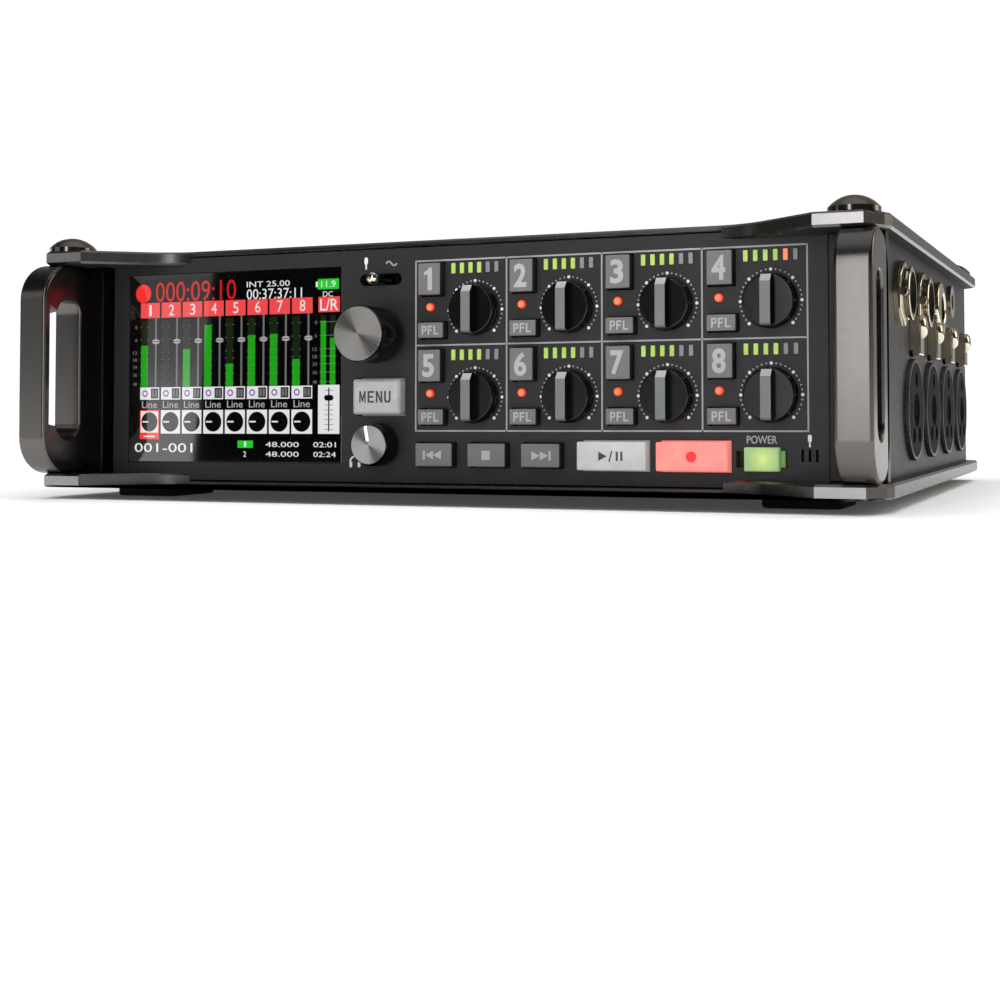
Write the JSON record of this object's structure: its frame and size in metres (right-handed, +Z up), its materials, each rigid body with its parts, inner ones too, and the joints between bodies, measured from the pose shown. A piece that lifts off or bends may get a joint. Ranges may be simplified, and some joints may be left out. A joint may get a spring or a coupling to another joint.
{
  "type": "portable field recorder",
  "caption": "Flat multi-track audio field recorder with colour screen, channel strips, transport keys, side combo jacks, strap-slot handles and a rear battery case.",
  "frame": {"origin": "centre of the footprint's bounding box, on the surface that the feet rest on", "axes": "+X to the user's right along the front panel, +Y from the front panel to the rear, +Z up"},
  "size_m": [0.1782, 0.1404, 0.0544],
  "materials": {
    "anodised_plate": "satin black anodised plate with bright cut edges",
    "anodised_bar": "satin black anodised bar",
    "black_case": "fine textured black coating",
    "front_panel": "matte dark grey panel with light printed lines",
    "screen_glass": "glossy screen cover over a lit colour display",
    "connector_plastic": "black moulded connector plastic",
    "warm_chrome": "polished nickel with a warm tint",
    "connector_metal": "satin nickel",
    "rubber": "moulded black rubber",
    "circuit_board": "green solder mask with fitted parts",
    "lit_key_white": "translucent key lit white from behind",
    "lit_key_red": "translucent key lit red from behind",
    "lit_key_green": "translucent cap lit green from behind",
    "grey_key": "grey silicone-soft key with a light legend",
    "knob_black": "black knob with a grey pointer or spun cap",
    "steel": "turned steel",
    "cell_jacket": "black tray with printed-jacket cells"
  },
  "bodies": {
    "main_case": {"top_cover": "anodised_plate", "bottom_cover": "anodised_plate", "chassis": "black_case", "front_panel": "front_panel", "left_handle": "anodised_bar", "right_handle": "anodised_bar", "display_module": "screen_glass", "combo_jacks": "connector_plastic", "right_jacks": "warm_chrome", "left_jacks": "connector_metal", "rear_sockets": "connector_plastic", "rubber_feet": "rubber", "cover_screws": "warm_chrome", "main_board": "circuit_board", "control_board": "circuit_board"},
    "knob_1": {"knob_1": "knob_black"},
    "knob_2": {"knob_2": "knob_black"},
    "knob_3": {"knob_3": "knob_black"},
    "knob_4": {"knob_4": "knob_black"},
    "knob_5": {"knob_5": "knob_black"},
    "knob_6": {"knob_6": "knob_black"},
    "knob_7": {"knob_7": "knob_black"},
    "knob_8": {"knob_8": "knob_black"},
    "track_key_1": {"track_key_1": "grey_key"},
    "track_key_2": {"track_key_2": "grey_key"},
    "track_key_3": {"track_key_3": "grey_key"},
    "track_key_4": {"track_key_4": "grey_key"},
    "track_key_5": {"track_key_5": "grey_key"},
    "track_key_6": {"track_key_6": "grey_key"},
    "track_key_7": {"track_key_7": "grey_key"},
    "track_key_8": {"track_key_8": "grey_key"},
    "pfl_key_1": {"pfl_key_1": "grey_key"},
    "pfl_key_2": {"pfl_key_2": "grey_key"},
    "pfl_key_3": {"pfl_key_3": "grey_key"},
    "pfl_key_4": {"pfl_key_4": "grey_key"},
    "pfl_key_5": {"pfl_key_5": "grey_key"},
    "pfl_key_6": {"pfl_key_6": "grey_key"},
    "pfl_key_7": {"pfl_key_7": "grey_key"},
    "pfl_key_8": {"pfl_key_8": "grey_key"},
    "menu_key": {"menu_key": "lit_key_white"},
    "rewind_key": {"rewind_key": "grey_key"},
    "stop_key": {"stop_key": "grey_key"},
    "forward_key": {"forward_key": "grey_key"},
    "play_key": {"play_key": "lit_key_white"},
    "record_key": {"record_key": "lit_key_red"},
    "encoder_shaft": {"encoder_shaft": "steel"},
    "encoder_knob": {"encoder_knob": "knob_black"},
    "volume_knob": {"volume_knob": "knob_black"},
    "slate_toggle": {"slate_toggle": "warm_chrome"},
    "power_slider": {"power_slider": "lit_key_green"},
    "latch_1": {"latch_1": "warm_chrome"},
    "latch_2": {"latch_2": "warm_chrome"},
    "latch_3": {"latch_3": "warm_chrome"},
    "latch_4": {"latch_4": "warm_chrome"},
    "latch_5": {"latch_5": "warm_chrome"},
    "latch_6": {"latch_6": "warm_chrome"},
    "latch_7": {"latch_7": "warm_chrome"},
    "latch_8": {"latch_8": "warm_chrome"},
    "battery_case": {"battery_sled": "cell_jacket", "battery_door": "black_case"}
  },
  "joints": [
    {"name": "knob_1_turn", "type": "hinge", "parent": "main_case", "child": "knob_1", "pos_m": [0.0081, -0.05615, 0.0372], "axis": [0, -1, 0], "range_deg": [-140, 140]},
    {"name": "knob_2_turn", "type": "hinge", "parent": "main_case", "child": "knob_2", "pos_m": [0.0276, -0.05615, 0.0372], "axis": [0, -1, 0], "range_deg": [-140, 140]},
    {"name": "knob_3_turn", "type": "hinge", "parent": "main_case", "child": "knob_3", "pos_m": [0.0471, -0.05615, 0.0372], "axis": [0, -1, 0], "range_deg": [-140, 140]},
    {"name": "knob_4_turn", "type": "hinge", "parent": "main_case", "child": "knob_4", "pos_m": [0.0666, -0.05615, 0.0372], "axis": [0, -1, 0], "range_deg": [-140, 140]},
    {"name": "knob_5_turn", "type": "hinge", "parent": "main_case", "child": "knob_5", "pos_m": [0.0081, -0.05615, 0.0204], "axis": [0, -1, 0], "range_deg": [-140, 140]},
    {"name": "knob_6_turn", "type": "hinge", "parent": "main_case", "child": "knob_6", "pos_m": [0.0276, -0.05615, 0.0204], "axis": [0, -1, 0], "range_deg": [-140, 140]},
    {"name": "knob_7_turn", "type": "hinge", "parent": "main_case", "child": "knob_7", "pos_m": [0.0471, -0.05615, 0.0204], "axis": [0, -1, 0], "range_deg": [-140, 140]},
    {"name": "knob_8_turn", "type": "hinge", "parent": "main_case", "child": "knob_8", "pos_m": [0.0666, -0.05615, 0.0204], "axis": [0, -1, 0], "range_deg": [-140, 140]},
    {"name": "track_key_1_press", "type": "slide", "parent": "main_case", "child": "track_key_1", "axis": [0, 1, 0], "range_m": [0, 0.0008], "stiffness_N_per_m": 500},
    {"name": "track_key_2_press", "type": "slide", "parent": "main_case", "child": "track_key_2", "axis": [0, 1, 0], "range_m": [0, 0.0008], "stiffness_N_per_m": 500},
    {"name": "track_key_3_press", "type": "slide", "parent": "main_case", "child": "track_key_3", "axis": [0, 1, 0], "range_m": [0, 0.0008], "stiffness_N_per_m": 500},
    {"name": "track_key_4_press", "type": "slide", "parent": "main_case", "child": "track_key_4", "axis": [0, 1, 0], "range_m": [0, 0.0008], "stiffness_N_per_m": 500},
    {"name": "track_key_5_press", "type": "slide", "parent": "main_case", "child": "track_key_5", "axis": [0, 1, 0], "range_m": [0, 0.0008], "stiffness_N_per_m": 500},
    {"name": "track_key_6_press", "type": "slide", "parent": "main_case", "child": "track_key_6", "axis": [0, 1, 0], "range_m": [0, 0.0008], "stiffness_N_per_m": 500},
    {"name": "track_key_7_press", "type": "slide", "parent": "main_case", "child": "track_key_7", "axis": [0, 1, 0], "range_m": [0, 0.0008], "stiffness_N_per_m": 500},
    {"name": "track_key_8_press", "type": "slide", "parent": "main_case", "child": "track_key_8", "axis": [0, 1, 0], "range_m": [0, 0.0008], "stiffness_N_per_m": 500},
    {"name": "pfl_key_1_press", "type": "slide", "parent": "main_case", "child": "pfl_key_1", "axis": [0, 1, 0], "range_m": [0, 0.0008], "stiffness_N_per_m": 500},
    {"name": "pfl_key_2_press", "type": "slide", "parent": "main_case", "child": "pfl_key_2", "axis": [0, 1, 0], "range_m": [0, 0.0008], "stiffness_N_per_m": 500},
    {"name": "pfl_key_3_press", "type": "slide", "parent": "main_case", "child": "pfl_key_3", "axis": [0, 1, 0], "range_m": [0, 0.0008], "stiffness_N_per_m": 500},
    {"name": "pfl_key_4_press", "type": "slide", "parent": "main_case", "child": "pfl_key_4", "axis": [0, 1, 0], "range_m": [0, 0.0008], "stiffness_N_per_m": 500},
    {"name": "pfl_key_5_press", "type": "slide", "parent": "main_case", "child": "pfl_key_5", "axis": [0, 1, 0], "range_m": [0, 0.0008], "stiffness_N_per_m": 500},
    {"name": "pfl_key_6_press", "type": "slide", "parent": "main_case", "child": "pfl_key_6", "axis": [0, 1, 0], "range_m": [0, 0.0008], "stiffness_N_per_m": 500},
    {"name": "pfl_key_7_press", "type": "slide", "parent": "main_case", "child": "pfl_key_7", "axis": [0, 1, 0], "range_m": [0, 0.0008], "stiffness_N_per_m": 500},
    {"name": "pfl_key_8_press", "type": "slide", "parent": "main_case", "child": "pfl_key_8", "axis": [0, 1, 0], "range_m": [0, 0.0008], "stiffness_N_per_m": 500},
    {"name": "menu_key_press", "type": "slide", "parent": "main_case", "child": "menu_key", "axis": [0, 1, 0], "range_m": [0, 0.0008], "stiffness_N_per_m": 500},
    {"name": "rewind_key_press", "type": "slide", "parent": "main_case", "child": "rewind_key", "axis": [0, 1, 0], "range_m": [0, 0.0008], "stiffness_N_per_m": 500},
    {"name": "stop_key_press", "type": "slide", "parent": "main_case", "child": "stop_key", "axis": [0, 1, 0], "range_m": [0, 0.0008], "stiffness_N_per_m": 500},
    {"name": "forward_key_press", "type": "slide", "parent": "main_case", "child": "forward_key", "axis": [0, 1, 0], "range_m": [0, 0.0008], "stiffness_N_per_m": 500},
    {"name": "play_key_press", "type": "slide", "parent": "main_case", "child": "play_key", "axis": [0, 1, 0], "range_m": [0, 0.0008], "stiffness_N_per_m": 500},
    {"name": "record_key_press", "type": "slide", "parent": "main_case", "child": "record_key", "axis": [0, 1, 0], "range_m": [0, 0.0008], "stiffness_N_per_m": 500},
    {"name": "encoder_press", "type": "slide", "parent": "main_case", "child": "encoder_shaft", "axis": [0, 1, 0], "range_m": [0, 0.0005], "stiffness_N_per_m": 900},
    {"name": "encoder_turn", "type": "hinge", "parent": "encoder_shaft", "child": "encoder_knob", "pos_m": [-0.0126, -0.05915, 0.0327], "axis": [0, -1, 0], "continuous": true},
    {"name": "volume_turn", "type": "hinge", "parent": "main_case", "child": "volume_knob", "pos_m": [-0.0126, -0.05615, 0.01125], "axis": [0, -1, 0], "range_deg": [-140, 140]},
    {"name": "slate_toggle_tilt", "type": "hinge", "parent": "main_case", "child": "slate_toggle", "pos_m": [-0.0126, -0.04995, 0.0438], "axis": [0, 0, 1], "range_deg": [-25, 25], "stiffness_Nm_per_rad": 0.03},
    {"name": "power_slide", "type": "slide", "parent": "main_case", "child": "power_slider", "axis": [1, 0, 0], "range_m": [-0.0014, 0.001], "stiffness_N_per_m": 400},
    {"name": "latch_1_press", "type": "slide", "parent": "main_case", "child": "latch_1", "axis": [1, 0, 0], "range_m": [0, 0.001], "stiffness_N_per_m": 500},
    {"name": "latch_2_press", "type": "slide", "parent": "main_case", "child": "latch_2", "axis": [1, 0, 0], "range_m": [0, 0.001], "stiffness_N_per_m": 500},
    {"name": "latch_3_press", "type": "slide", "parent": "main_case", "child": "latch_3", "axis": [1, 0, 0], "range_m": [0, 0.001], "stiffness_N_per_m": 500},
    {"name": "latch_4_press", "type": "slide", "parent": "main_case", "child": "latch_4", "axis": [1, 0, 0], "range_m": [0, 0.001], "stiffness_N_per_m": 500},
    {"name": "latch_5_press", "type": "slide", "parent": "main_case", "child": "latch_5", "axis": [-1, 0, 0], "range_m": [0, 0.001], "stiffness_N_per_m": 500},
    {"name": "latch_6_press", "type": "slide", "parent": "main_case", "child": "latch_6", "axis": [-1, 0, 0], "range_m": [0, 0.001], "stiffness_N_per_m": 500},
    {"name": "latch_7_press", "type": "slide", "parent": "main_case", "child": "latch_7", "axis": [-1, 0, 0], "range_m": [0, 0.001], "stiffness_N_per_m": 500},
    {"name": "latch_8_press", "type": "slide", "parent": "main_case", "child": "latch_8", "axis": [-1, 0, 0], "range_m": [0, 0.001], "stiffness_N_per_m": 500},
    {"name": "battery_case_slide", "type": "slide", "parent": "main_case", "child": "battery_case", "axis": [0, 1, 0], "range_m": [0, 0.075]}
  ]
}
